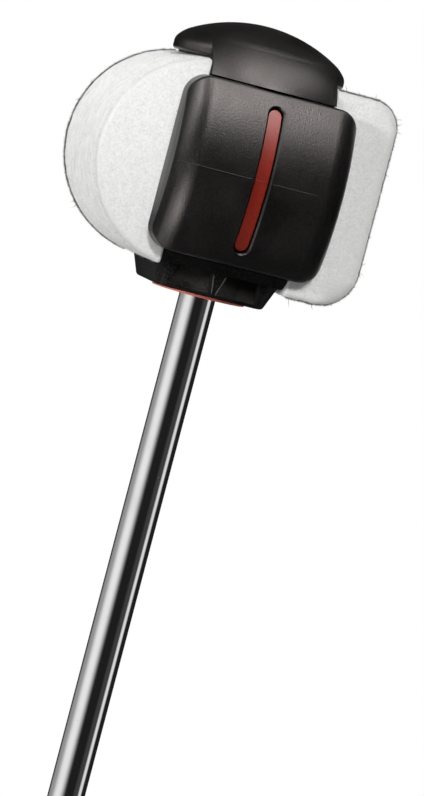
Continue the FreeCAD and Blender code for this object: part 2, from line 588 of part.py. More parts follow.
def front_rattle_pad():
    """Foam sheet on the carrier's back."""
    sheet = carrier_outline(PAD_INSET, CARRIER_CORNER_RADIUS, -CARRIER_BACK, -COVER_BACK)
    return cut_all(sheet, peg_holes(WEIGHT_PEG_GAP))


def turned(shape):
    """A piece turned half round the shaft's axis."""
    return both_faces(shape)[1]


def main():
    """Build every piece, lift it to its height on the shaft and write it out."""
    cover, carrier, pad = front_cover(), front_weight_carrier(), front_rattle_pad()
    left, right, plate = front_weight(-1), front_weight(1), backing_plate()
    pieces = {
        "beater_shaft": beater_shaft(),
        "shaft_cross_pin": shaft_cross_pin(),
        "core_block": core_block(),
        "shaft_bush": shaft_bush(),
        "top_cap": top_cap(),
        "bottom_skirt": bottom_skirt(),
        "cap_screws": strap_screws(SCREW_CENTRE_HEIGHT),
        "skirt_screws": strap_screws(-SCREW_CENTRE_HEIGHT),
        "dome_felt": dome_felt(),
        "flat_felt": flat_felt(),
        "dome_backing_plate": turned(plate),
        "flat_backing_plate": plate,
        "front_cover": cover,
        "rear_cover": turned(cover),
        "front_weight_carrier": carrier,
        "rear_weight_carrier": turned(carrier),
        "front_left_weight": left,
        "front_right_weight": right,
        "rear_left_weight": turned(right),
        "rear_right_weight": turned(left),
        "front_rattle_pad": pad,
        "rear_rattle_pad": turned(pad),
    }
    os.makedirs("parts", exist_ok=True)
    for name, shape in pieces.items():
        shape.translate(V(0, 0, HEAD_HEIGHT))
        print(name, shape.isValid(), len(shape.Solids), round(shape.Volume, 1))
        shape.exportStep(f"parts/{name}.step")


main()
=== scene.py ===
"""Looks of a bass drum beater with a rounded and a flat felt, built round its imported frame.

Metres, +Z up the shaft. The rounded felt faces -X, the flat felt +X, and the side covers face -Y and +Y.
"""

import logging
import math
import random
from dataclasses import dataclass
from enum import Enum
from typing import Iterable

import bmesh
import bpy
import numpy as np
from bpy.types import Light, Material, Mesh, MeshPolygon, Node, NodeSocket, Object, Scene, World
from mathutils import Matrix, Vector, noise


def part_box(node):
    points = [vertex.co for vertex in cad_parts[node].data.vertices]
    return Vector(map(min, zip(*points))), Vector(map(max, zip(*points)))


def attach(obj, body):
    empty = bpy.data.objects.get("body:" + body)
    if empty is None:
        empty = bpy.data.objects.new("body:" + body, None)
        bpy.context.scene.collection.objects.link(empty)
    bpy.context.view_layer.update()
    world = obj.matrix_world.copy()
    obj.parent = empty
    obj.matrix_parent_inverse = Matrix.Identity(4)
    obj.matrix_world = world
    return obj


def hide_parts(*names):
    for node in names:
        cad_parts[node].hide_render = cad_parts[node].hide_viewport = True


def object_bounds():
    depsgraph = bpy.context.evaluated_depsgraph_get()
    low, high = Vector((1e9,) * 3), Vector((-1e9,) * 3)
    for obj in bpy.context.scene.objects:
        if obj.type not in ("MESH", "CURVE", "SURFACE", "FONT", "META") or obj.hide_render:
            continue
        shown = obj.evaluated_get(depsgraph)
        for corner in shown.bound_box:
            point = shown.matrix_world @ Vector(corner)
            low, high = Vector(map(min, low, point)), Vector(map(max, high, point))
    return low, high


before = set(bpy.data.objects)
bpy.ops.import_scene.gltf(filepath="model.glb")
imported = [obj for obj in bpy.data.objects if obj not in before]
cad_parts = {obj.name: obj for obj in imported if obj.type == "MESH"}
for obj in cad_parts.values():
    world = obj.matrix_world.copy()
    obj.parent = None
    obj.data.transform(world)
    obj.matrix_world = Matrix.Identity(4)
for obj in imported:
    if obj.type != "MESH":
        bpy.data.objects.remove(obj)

LOG = logging.getLogger("beater")
CAD_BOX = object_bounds()
HEAD_BODY = "head"
MM = 0.001

Triple = tuple[float, float, float]
Colour = Triple
Span = tuple[float, float]
Value = NodeSocket | float
Inputs = dict[str | int, object]
Run = list[tuple[Vector, Vector]]

WHITE: Colour = (1.0, 1.0, 1.0)
BLACK: Colour = (0.0, 0.0, 0.0)
UNIT: Span = (0.0, 1.0)
NOISE_SPAN: Span = (0.3, 0.7)

# Even meshes of soft solids
WELD_SHARE = 0.01
SETTLE_FACTOR = 0.5

# Thin beads along seams and edges
BEAD_SIDES = 6
BEAD_TIP = 0.3
BEAD_GROWTH = 0.35


class Side(Enum):
    """The two faces of the head that carry a cover, with the way each one faces along Y."""

    FRONT = -1
    REAR = 1

    @property
    def word(self) -> str:
        """The side's word in node and body names."""
        return self.name.lower()

    @property
    def turn(self) -> Matrix:
        """Rotation that takes a piece from the front to this side."""
        return Matrix.Rotation(0.0 if self is Side.FRONT else math.pi, 3, "Z")


def clamped(value: float) -> float:
    """A value kept between 0 and 1."""
    return min(1.0, max(0.0, value))


def eased(share: float) -> float:
    """A share from 0 to 1 with a soft start and end."""
    return share * share * (3 - 2 * share)


def middle_height(node: str) -> float:
    """The height of a node's middle."""
    low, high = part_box(node)
    return (low.z + high.z) / 2


def direction(left: float, height: float) -> Vector:
    """Unit vector from the head.

    Args:
        left: Angle to the left of the front cover's outward way, in degrees.
        height: Angle above the horizon, in degrees.

    Returns:
        The vector.
    """
    turn, rise = math.radians(left), math.radians(height)
    flat = math.cos(rise)
    return Vector((-math.sin(turn) * flat, -math.cos(turn) * flat, math.sin(rise)))


@dataclass(frozen=True)
class Noise:
    """Fractal noise: features per metre, on each axis if they differ, octaves, and what a finer one keeps."""

    scale: float | Triple
    detail: float
    keep: float = 0.55


class Shader:
    """Node tree of a material or of the world, with a short call for each kind of node that is used."""

    MAP_INPUTS = ("Value", "From Min", "From Max", "To Min", "To Max")
    MIX_COLOURS = (6, 7)
    MIX_RESULT = 2

    def __init__(self, owner: Material | World) -> None:
        """Start on a bare node tree.

        Args:
            owner: The new material or world.
        """
        owner.use_nodes = True
        self.owner = owner
        self.tree = owner.node_tree
        kind = "Principled BSDF" if isinstance(owner, Material) else "Background"
        self.surface: Node = self.tree.nodes[kind]

    @classmethod
    def of_material(cls, name: str) -> "Shader":
        """The node tree of a new material."""
        return cls(bpy.data.materials.new(name))

    def add(self, kind: str, inputs: Inputs, **settings: object) -> Node:
        """Add a node.

        Args:
            kind: The node's type name.
            inputs: What its inputs are linked or set to, by name or number.
            **settings: Properties to set on it.

        Returns:
            The new node.
        """
        node = self.tree.nodes.new(kind)
        for key, value in settings.items():
            setattr(node, key, value)
        self.fill(node, inputs)
        return node

    def fill(self, node: Node, inputs: Inputs) -> None:
        """Link inputs of a node to other nodes, or set their values.

        Args:
            node: The node.
            inputs: Output sockets or plain values, by the input's name or number.
        """
        for key, value in inputs.items():
            if isinstance(value, NodeSocket):
                self.tree.links.new(value, node.inputs[key])
            else:
                node.inputs[key].default_value = value

    def place(self, kind: str = "Object") -> NodeSocket:
        """Texture coordinates of one kind."""
        return self.add("ShaderNodeTexCoord", {}).outputs[kind]

    def attribute(self, name: str) -> NodeSocket:
        """A number that the mesh carries at its points."""
        return self.add("ShaderNodeAttribute", {}, attribute_name=name).outputs["Fac"]

    def axes(self, vector: NodeSocket) -> tuple[NodeSocket, ...]:
        """X, Y and Z of a vector."""
        return tuple(self.add("ShaderNodeSeparateXYZ", {0: vector}).outputs)

    def cloud(self, vector: NodeSocket, pattern: Noise) -> NodeSocket:
        """Fractal noise.

        Args:
            vector: The coordinates.
            pattern: The kind of noise.

        Returns:
            The noise, from 0 to 1.
        """
        scale = pattern.scale
        if isinstance(scale, tuple):
            vector = self.add("ShaderNodeVectorMath", {0: vector, 1: scale}, operation="MULTIPLY").outputs[0]
            scale = 1.0
        sizes = {"Scale": scale, "Detail": pattern.detail, "Roughness": pattern.keep}
        return self.add("ShaderNodeTexNoise", {"Vector": vector, **sizes}).outputs["Fac"]

    def cells(self, vector: NodeSocket, scale: float) -> NodeSocket:
        """Distance to the nearest of a scatter of points, about scale of them per metre, in cells."""
        return self.add("ShaderNodeTexVoronoi", {"Vector": vector, "Scale": scale}).outputs["Distance"]

    def maths(self, operation: str, *values: Value) -> NodeSocket:
        """One step of arithmetic with as many values as it takes."""
        return self.add("ShaderNodeMath", dict(enumerate(values)), operation=operation).outputs[0]

    def weighed(self, first: NodeSocket, second: NodeSocket, shares: Span) -> NodeSocket:
        """Sum of two values, each times its own share."""
        return self.maths("MULTIPLY_ADD", first, shares[0], self.maths("MULTIPLY", second, shares[1]))

    def spread(self, value: NodeSocket, span: Span, ends: tuple[Value, Value] = UNIT) -> NodeSocket:
        """A value's span moved to other ends, without going past them."""
        inputs = dict(zip(self.MAP_INPUTS, (value, *span, *ends)))
        return self.add("ShaderNodeMapRange", inputs).outputs["Result"]

    def blend(self, share: NodeSocket, first: NodeSocket | Colour, second: NodeSocket | Colour) -> NodeSocket:
        """Mix of two colours.

        Args:
            share: How much of the second one shows.
            first: A colour socket or a colour.
            second: A colour socket or a colour.

        Returns:
            The mixed colour.
        """
        inputs: Inputs = {0: share}
        for index, colour in zip(self.MIX_COLOURS, (first, second)):
            inputs[index] = colour if isinstance(colour, NodeSocket) else (*colour, 1.0)
        return self.add("ShaderNodeMix", inputs, data_type="RGBA").outputs[self.MIX_RESULT]

    def relief(self, height: NodeSocket, bump: Span) -> None:
        """Bump the surface.

        Args:
            height: The height, from 0 to 1.
            bump: What a height of 1 means, in metres, and how strongly it shows.
        """
        node = self.add("ShaderNodeBump", {"Height": height, "Distance": bump[0], "Strength": bump[1]})
        self.fill(self.surface, {"Normal": node.outputs["Normal"]})

    def finish(self, **values: object) -> Material | World:
        """Fill the surface's or background's inputs, named with underscores, and give the owner back."""
        self.fill(self.surface, {key.replace("_", " "): value for key, value in values.items()})
        return self.owner


@dataclass(frozen=True)
class MouldedPlastic:
    """Moulded plastic with a fine eroded grain, faint clouding and a little dust.

    In every finish, tones are where a noise turns from one colour to the other.
    """

    name: str
    deep: Colour
    pale: Colour
    roughness: float
    gloss: float = 0.5
    grain: Noise = Noise(3200.0, 2.0, 0.6)
    bump: Span = (0.06 * MM, 0.65)
    pit_scale_share: float = 0.8
    pit_height: float = 0.4
    clouds: Noise = Noise(120.0, 4.0)
    grain_and_clouds: Span = (0.8, 0.2)
    tones: Span = (0.42, 0.58)
    unevenness: Span = (-0.03, 0.06)
    # The dust colour also paints light into the skirt's shaded pockets.
    dust: Colour = (0.12, 0.115, 0.11)
    specks: Noise = Noise(1500.0, 0.0)
    speck_tones: Span = (0.84, 0.87)
    speck_share: float = 0.25
    sheen_tint: Colour = (1.0, 0.95, 0.935)

    def make(self) -> Material:
        """Make the finish.

        Returns:
            Its material.
        """
        shader = Shader.of_material(self.name)
        place = shader.place()
        grain = shader.cloud(place, self.grain)
        pits = shader.cells(place, self.grain.scale * self.pit_scale_share)
        clouds = shader.cloud(place, self.clouds)
        shader.relief(shader.maths("ADD", grain, shader.maths("MULTIPLY", pits, self.pit_height)), self.bump)
        tone = shader.spread(shader.weighed(grain, clouds, self.grain_and_clouds), self.tones)
        specks = shader.spread(shader.cloud(place, self.specks), self.speck_tones, (0.0, self.speck_share))
        colour = shader.blend(specks, shader.blend(tone, self.deep, self.pale), self.dust)
        smoothest, roughest = (self.roughness + change for change in self.unevenness)
        return shader.finish(
            Base_Color=self.with_pocket_light(shader, place, colour),
            Roughness=shader.spread(clouds, NOISE_SPAN, (smoothest, roughest)),
            Specular_IOR_Level=self.shine(shader, place),
            Specular_Tint=(*self.sheen_tint, 1.0),
        )

    def with_pocket_light(self, shader: Shader, place: NodeSocket, colour: NodeSocket) -> NodeSocket:
        """The colour lightened with painted light in shaded pockets: none on a plain moulding."""
        return colour

    def shine(self, shader: Shader, place: NodeSocket) -> Value:
        """The gloss: the same all over a plain moulding."""
        return self.gloss


@dataclass(frozen=True)
class CoverPlastic(MouldedPlastic):
    """Moulded plastic that is rubbed dull on the walls that face the felts, low down and far out."""

    wall_facing: Span = (0.7, 0.92)
    wall_dulling: float = 0.95
    low_heights: Span = (160.0 * MM, 176.0 * MM)
    outer_depths: Span = (16.5 * MM, 21.6 * MM)
    outer_dulling: float = 0.9

    def shine(self, shader: Shader, place: NodeSocket) -> NodeSocket:
        """Gloss that is lost towards the lower end and the outer side of the walls.

        Args:
            shader: The node tree to build in.
            place: The coordinates.

        Returns:
            The gloss.
        """
        facing = shader.maths("ABSOLUTE", shader.axes(shader.place("Normal"))[0])
        _, depth, height = shader.axes(place)
        wall = shader.spread(facing, self.wall_facing, (0.0, self.wall_dulling))
        low = shader.spread(height, self.low_heights, (1.0, 0.0))
        outer = shader.spread(shader.maths("ABSOLUTE", depth), self.outer_depths, (0.0, self.outer_dulling))
        lost = shader.maths("MULTIPLY", wall, shader.maths("MAXIMUM", low, outer))
        return shader.maths("MULTIPLY", shader.maths("SUBTRACT", 1.0, lost), self.gloss)


@dataclass(frozen=True)
class SkirtPlastic(MouldedPlastic):
    """Moulded plastic lightened with painted light in the shaded pockets behind the skirt's sloping fronts.
    """

    pocket_dust: float = 0.22
    front_height: float = 150.8 * MM
    front_depth: float = 14.4 * MM
    front_slope: float = 0.4256
    pocket_light_depths: Span = (0.4 * MM, 2.0 * MM)
    pocket_ends: Span = (11.2 * MM, 11.8 * MM)

    def with_pocket_light(self, shader: Shader, place: NodeSocket, colour: NodeSocket) -> NodeSocket:
        """The colour lightened in the pockets: painted light against the shade that falls there.

        Args:
            shader: The node tree to build in.
            place: The coordinates.
            colour: The clean colour.

        Returns:
            The dusty colour.
        """
        across, depth, height = shader.axes(place)
        foot = self.front_depth - self.front_height * self.front_slope
        front = shader.maths("MULTIPLY_ADD", height, self.front_slope, foot)
        inside = shader.maths("SUBTRACT", front, shader.maths("ABSOLUTE", depth))
        # Painted light: the shaded pockets are lightened towards the dust colour.
        deep = shader.spread(inside, self.pocket_light_depths, (0.0, self.pocket_dust))
        middle = shader.spread(shader.maths("ABSOLUTE", across), self.pocket_ends, (1.0, 0.0))
        return shader.blend(shader.maths("MULTIPLY", deep, middle), colour, self.dust)


@dataclass(frozen=True)
class ChromePlate:
    """Polished chrome with faint lengthwise polishing lines and a slight haze."""

    name: str = "chrome_plate"
    colour: Colour = (0.83, 0.83, 0.84)
    tarnish: Colour = (0.66, 0.65, 0.64)
    lines: Noise = Noise((3200.0, 3200.0, 45.0), 3.0)
    bump: Span = (0.004 * MM, 0.25)
    haze: Noise = Noise(160.0, 4.0)
    haze_tones: Span = (0.45, 0.8)
    haze_share: float = 0.4
    spots: Noise = Noise(900.0, 1.0)
    spot_tones: Span = (0.7, 0.78)
    spot_share: float = 0.6
    roughness: Span = (0.05, 0.13)

    def make(self) -> Material:
        """Make the finish.

        Returns:
            Its material.
        """
        shader = Shader.of_material(self.name)
        place = shader.place()
        shader.relief(shader.cloud(place, self.lines), self.bump)
        haze = shader.cloud(place, self.haze)
        hazy = shader.spread(haze, self.haze_tones, (0.0, self.haze_share))
        spots = shader.spread(shader.cloud(place, self.spots), self.spot_tones, (0.0, self.spot_share))
        return shader.finish(
            Base_Color=shader.blend(shader.maths("MAXIMUM", spots, hazy), self.colour, self.tarnish),
            Metallic=1.0,
            Roughness=shader.spread(haze, NOISE_SPAN, self.roughness),
        )


@dataclass(frozen=True)
class PlainSteel:
    """Plated steel with fine rolling lines and cloudy patches."""

    name: str = "plain_steel"
    bright: Colour = (0.56, 0.56, 0.55)
    dull: Colour = (0.38, 0.38, 0.37)
    lines: Noise = Noise((2600.0, 2600.0, 160.0), 3.0)
    bump: Span = (0.01 * MM, 0.4)
    clouds: Noise = Noise(260.0, 4.0)
    tones: Span = (0.35, 0.7)
    roughness: Span = (0.26, 0.42)

    def make(self) -> Material:
        """Make the finish.

        Returns:
            Its material.
        """
        shader = Shader.of_material(self.name)
        place = shader.place()
        lines = shader.cloud(place, self.lines)
        shader.relief(lines, self.bump)
        tone = shader.spread(shader.cloud(place, self.clouds), self.tones)
        return shader.finish(
            Base_Color=shader.blend(tone, self.bright, self.dull),
            Metallic=1.0,
            Roughness=shader.spread(lines, NOISE_SPAN, self.roughness),
        )


@dataclass(frozen=True)
class WoolFelt:
    """Dense white felt: mottled on its cut sides, streaked along its layers on the striking face, and
    darkened by painted shade where the mesh's edge share says.
    """

    name: str = "white_felt"
    shade: Colour = (0.78, 0.775, 0.765)
    white: Colour = (0.95, 0.95, 0.945)
    fleck: Colour = (0.42, 0.4, 0.37)
    # Painted shade: the grey that the felt is darkened towards, and how far.
    painted_light: Colour = (0.6, 0.595, 0.58)
    painted_shade_share: float = 0.8
    cut_facing: Span = (0.45, 0.85)
    layers: Noise = Noise((320.0, 800.0, 320.0), 4.0, 0.65)
    mottle: Noise = Noise(1900.0, 4.0, 0.65)
    clumps: Noise = Noise(700.0, 3.0)
    wool_and_clumps: Span = (0.8, 0.2)
    tones: Span = (0.32, 0.6)
    flecks: Noise = Noise(1500.0, 0.0)
    fleck_tones: Span = (0.85, 0.88)
    fleck_share: float = 0.7
    fibres: Noise = Noise(3400.0, 3.0, 0.7)
    fibre_height: float = 0.6
    bump: Span = (0.12 * MM, 0.45)
    gloss: float = 0.1
    sheen: float = 0.12
    sheen_roughness: float = 0.6

    def make(self) -> Material:
        """Make the finish.

        Returns:
            Its material.
        """
        shader = Shader.of_material(self.name)
        place = shader.place()
        facing = shader.maths("ABSOLUTE", shader.axes(shader.place("Normal"))[1])
        cut = shader.spread(facing, self.cut_facing)
        mottle = shader.maths("MULTIPLY", shader.cloud(place, self.mottle), cut)
        struck = shader.maths("SUBTRACT", 1.0, cut)
        layers = shader.maths("MULTIPLY", shader.cloud(place, self.layers), struck)
        wool = shader.maths("ADD", mottle, layers)
        clumps = shader.cloud(place, self.clumps)
        tone = shader.spread(shader.weighed(wool, clumps, self.wool_and_clumps), self.tones)
        flecks = shader.spread(shader.cloud(place, self.flecks), self.fleck_tones, (0.0, self.fleck_share))
        colour = shader.blend(flecks, shader.blend(tone, self.shade, self.white), self.fleck)
        # Painted shade: the edge attribute darkens the felt along its ridge, at its far end and in its low
        # corner.
        wear = shader.maths("MULTIPLY", shader.attribute("edge"), self.painted_shade_share)
        fibres = shader.maths("MULTIPLY", shader.cloud(place, self.fibres), self.fibre_height)
        shader.relief(shader.maths("ADD", wool, fibres), self.bump)
        return shader.finish(
            Base_Color=shader.blend(wear, colour, self.painted_light),
            Roughness=1.0,
            Specular_IOR_Level=self.gloss,
            Sheen_Weight=self.sheen,
            Sheen_Roughness=self.sheen_roughness,
        )


@dataclass(frozen=True)
class FeltFibre:
    """Loose wool fibres that stand off the felt."""

    name: str = "felt_fibre"
    shade: Colour = (0.55, 0.545, 0.53)
    white: Colour = (0.84, 0.83, 0.82)
    clouds: Noise = Noise(700.0, 2.0)
    tones: Span = (0.35, 0.65)
    skin: Noise = Noise(2500.0, 1.0)
    roughness: Span = (0.75, 0.95)
    gloss: float = 0.1

    def make(self) -> Material:
        """Make the finish.

        Returns:
            Its material.
        """
        shader = Shader.of_material(self.name)
        place = shader.place()
        tone = shader.spread(shader.cloud(place, self.clouds), self.tones)
        return shader.finish(
            Base_Color=shader.blend(tone, self.shade, self.white),
            Roughness=shader.spread(shader.cloud(place, self.skin), NOISE_SPAN, self.roughness),
            Specular_IOR_Level=self.gloss,
        )


@dataclass(frozen=True)
class PressedBoard:
    """Brown hardboard with short pressed fibres."""

    name: str = "backing_board"
    dark: Colour = (0.2, 0.12, 0.065)
    light: Colour = (0.42, 0.28, 0.16)
    fibres: Noise = Noise((2200.0, 900.0, 700.0), 4.0, 0.65)
    bump: Span = (0.06 * MM, 0.5)
    clouds: Noise = Noise(240.0, 3.0)
    fibres_and_clouds: Span = (0.7, 0.3)
    roughness: Span = (0.7, 0.85)

    def make(self) -> Material:
        """Make the finish.

        Returns:
            Its material.
        """
        shader = Shader.of_material(self.name)
        place = shader.place()
        fibres, clouds = shader.cloud(place, self.fibres), shader.cloud(place, self.clouds)
        shader.relief(fibres, self.bump)
        tone = shader.spread(shader.weighed(fibres, clouds, self.fibres_and_clouds), NOISE_SPAN)
        return shader.finish(
            Base_Color=shader.blend(tone, self.dark, self.light),
            Roughness=shader.spread(clouds, NOISE_SPAN, self.roughness),
        )


@dataclass(frozen=True)
class FoamRubber:
    """Black foam sheet with open cells."""

    name: str = "foam_sheet"
    dark: Colour = (0.012, 0.012, 0.013)
    light: Colour = (0.06, 0.06, 0.062)
    cell_scale: float = 1600.0
    bump: Span = (0.15 * MM, 0.6)
    tones: Span = (0.1, 0.7)
    clouds: Noise = Noise(300.0, 3.0)
    roughness: Span = (0.8, 0.95)

    def make(self) -> Material:
        """Make the finish.

        Returns:
            Its material.
        """
        shader = Shader.of_material(self.name)
        place = shader.place()
        cells, clouds = shader.cells(place, self.cell_scale), shader.cloud(place, self.clouds)
        shader.relief(cells, self.bump)
        return shader.finish(
            Base_Color=shader.blend(shader.spread(cells, self.tones, (1.0, 0.0)), self.dark, self.light),
            Roughness=shader.spread(clouds, NOISE_SPAN, self.roughness),
        )


class Finishes:
    """The materials of the whole beater, each made once."""

    def __init__(self) -> None:
        """Make every finish."""
        satin = {"grain": Noise(2600.0, 2.0, 0.6), "bump": (0.02 * MM, 0.35)}
        coarse = Noise(1500.0, 2.0, 0.6)
        deep, pale = (0.0008, 0.00076, 0.00076), (0.0115, 0.0109, 0.0107)
        self.black = CoverPlastic("black_plastic", deep, pale, 0.31, gloss=0.6).make()
        deep, pale = (0.0014, 0.0013, 0.0013), (0.016, 0.0152, 0.0147)
        self.skirt = SkirtPlastic("skirt_plastic", deep, pale, 0.42, gloss=0.05).make()
        # Paler grey plastic for the rib's edge beads: painted highlights.
        deep, pale = (0.05, 0.048, 0.047), (0.1, 0.097, 0.095)
        self.painted_light = MouldedPlastic("rib_highlight_plastic", deep, pale, 0.33, gloss=0.7).make()
        # The bush's red is much paler than the carriers' red: painted light on a flange that lies in shade
        # under the skirt.
        deep, pale = (0.85, 0.2, 0.15), (0.94, 0.25, 0.19)
        self.bush = MouldedPlastic("painted_light_bush_plastic", deep, pale, 0.33, **satin).make()
        deep, pale = (0.035, 0.036, 0.038), (0.07, 0.072, 0.076)
        self.core = MouldedPlastic("core_plastic", deep, pale, 0.5, grain=coarse).make()
        deep, pale = (0.185, 0.0135, 0.007), (0.235, 0.019, 0.0105)
        self.red = MouldedPlastic("red_plastic", deep, pale, 0.33, gloss=0.7, **satin).make()
        self.chrome = ChromePlate().make()
        self.steel = PlainSteel().make()
        self.felt = WoolFelt().make()
        self.fibre = FeltFibre().make()
        # The edge hairs are near black: painted shade that draws a dark outline round the felts.
        self.hair = FeltFibre("edge_hair", (0.05, 0.047, 0.044), (0.18, 0.175, 0.165)).make()
        self.board = PressedBoard().make()
        self.foam = FoamRubber().make()


def paint(node: str, material: Material) -> None:
    """Give a carried-over node its finish.

    Args:
        node: The node's name.
        material: The finish.
    """
    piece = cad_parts[node]
    if not piece.material_slots:
        piece.data.materials.append(material)
    for slot in piece.material_slots:
        slot.material = material
    LOG.info("dressed %s in %s", node, material.name)


def new_piece(name: str, mesh: Mesh, material: Material, body: str) -> Object:
    """Put a new mesh into the scene as a piece of the beater.

    Args:
        name: The piece's name.
        mesh: Its mesh, in the frame's own place.
        material: Its finish.
        body: The body that it moves with.

    Returns:
        The piece.
    """
    piece = bpy.data.objects.new(name, mesh)
    bpy.context.scene.collection.objects.link(piece)
    mesh.materials.clear()
    mesh.materials.append(material)
    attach(piece, body)
    LOG.info("built %s with %d faces on %s", name, len(mesh.polygons), body)
    return piece


def mesh_of(name: str, points: Iterable, faces: Iterable) -> Mesh:
    """Smooth-shaded mesh from points and faces.

    Args:
        name: The mesh's name.
        points: Its points.
        faces: Its faces, as point numbers.

    Returns:
        The mesh.
    """
    mesh = bpy.data.meshes.new(name)
    mesh.from_pydata([tuple(p) for p in points], [], [tuple(f) for f in faces])
    mesh.shade_smooth()
    mesh.update()
    return mesh


def soft_copy(node: str, name: str, voxel: float, passes: int) -> Mesh:
    """A plain solid's mesh as an even mesh with its edges eased.

    Args:
        node: The solid's node.
        name: The new mesh's name.
        voxel: The even mesh's step.
        passes: How many times it is smoothed.

    Returns:
        The new mesh.
    """
    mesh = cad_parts[node].data.copy()
    work = bmesh.new()
    work.from_mesh(mesh)
    bmesh.ops.remove_doubles(work, verts=work.verts, dist=voxel * WELD_SHARE)
    work.to_mesh(mesh)
    work.free()
    blank = bpy.data.objects.new(f"{name}_blank", mesh)
    bpy.context.scene.collection.objects.link(blank)
    even = blank.modifiers.new("even", "REMESH")
    even.mode = "VOXEL"
    even.voxel_size = voxel
    settle = blank.modifiers.new("settle", "SMOOTH")
    settle.factor = SETTLE_FACTOR
    settle.iterations = passes
    graph = bpy.context.evaluated_depsgraph_get()
    soft = bpy.data.meshes.new_from_object(blank.evaluated_get(graph))
    bpy.data.objects.remove(blank)
    soft.name = name
    soft.shade_smooth()
    return soft


def move_points(mesh: Mesh, places: list[Vector]) -> None:
    """Move every point of a mesh to a new place."""
    mesh.vertices.foreach_set("co", np.array(places).ravel())
    mesh.update()


def band(base: int, above: int, count: int) -> list[tuple[int, ...]]:
    """Faces between two rings of points.

    Args:
        base: The first point's number on the lower ring.
        above: The first point's number on the upper ring.
        count: How many points each ring has.

    Returns:
        The faces.
    """
    pairs = [(corner, (corner + 1) % count) for corner in range(count)]
    return [(base + one, base + two, above + two, above + one) for one, two in pairs]


def bead(name: str, run: Run, width: float, height: float) -> Mesh:
    """Thin closed bead along a run of points, tapered towards its ends.

    Args:
        name: The mesh's name.
        run: Points and the outward way at each.
        width: Half of its width.
        height: How far it stands out.

    Returns:
        The bead's mesh.
    """
    points, faces = [], []
    last = len(run) - 1
    for index, (place, outward) in enumerate(run):
        along = run[min(index + 1, last)][0] - run[max(index - 1, 0)][0]
        across = outward.cross(along).normalized()
        taper = min(1.0, BEAD_TIP + BEAD_GROWTH * min(index, last - index))
        for corner in range(BEAD_SIDES):
            angle = math.tau * corner / BEAD_SIDES
            lift = outward * math.sin(angle) * height + across * math.cos(angle) * width
            points.append(place + lift * taper)
    for ring in range(last):
        faces += band(ring * BEAD_SIDES, (ring + 1) * BEAD_SIDES, BEAD_SIDES)
    faces.append(tuple(range(BEAD_SIDES))[::-1])
    faces.append(tuple(range(last * BEAD_SIDES, (last + 1) * BEAD_SIDES)))
    return mesh_of(name, points, faces)


@dataclass
class RattlePad:
    """Foam sheet behind a weight carrier, with eased edges and a skin of small open cells."""

    node: str
    body: str
    voxel: float = 0.3 * MM
    settle_passes: int = 3
    cell_size: float = 0.9 * MM
    cell_depth: float = 0.05 * MM
    cell_reach: float = 0.5

    def build(self, finishes: Finishes) -> None:
        """Make the sheet.

        Args:
            finishes: The beater's materials.
        """
        mesh = soft_copy(self.node, f"{self.node}_foam", self.voxel, self.settle_passes)
        pressed = []
        for vertex in mesh.vertices:
            near = noise.voronoi(vertex.co / self.cell_size)[0][0]
            share = max(0.0, 1.0 - near / self.cell_reach)
            pressed.append(vertex.co - vertex.normal * self.cell_depth * share)
        move_points(mesh, pressed)
        pad = new_piece(f"{self.node}_foam", mesh, finishes.foam, self.body)
        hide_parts(self.node)


@dataclass(frozen=True)
class Fibres:
    """A kind of loose fibre: its length, radius, flattest angle and whether it grows at edges only."""

    word: str
    length: float
    radius: float
    flattest: float
    at_edges: bool


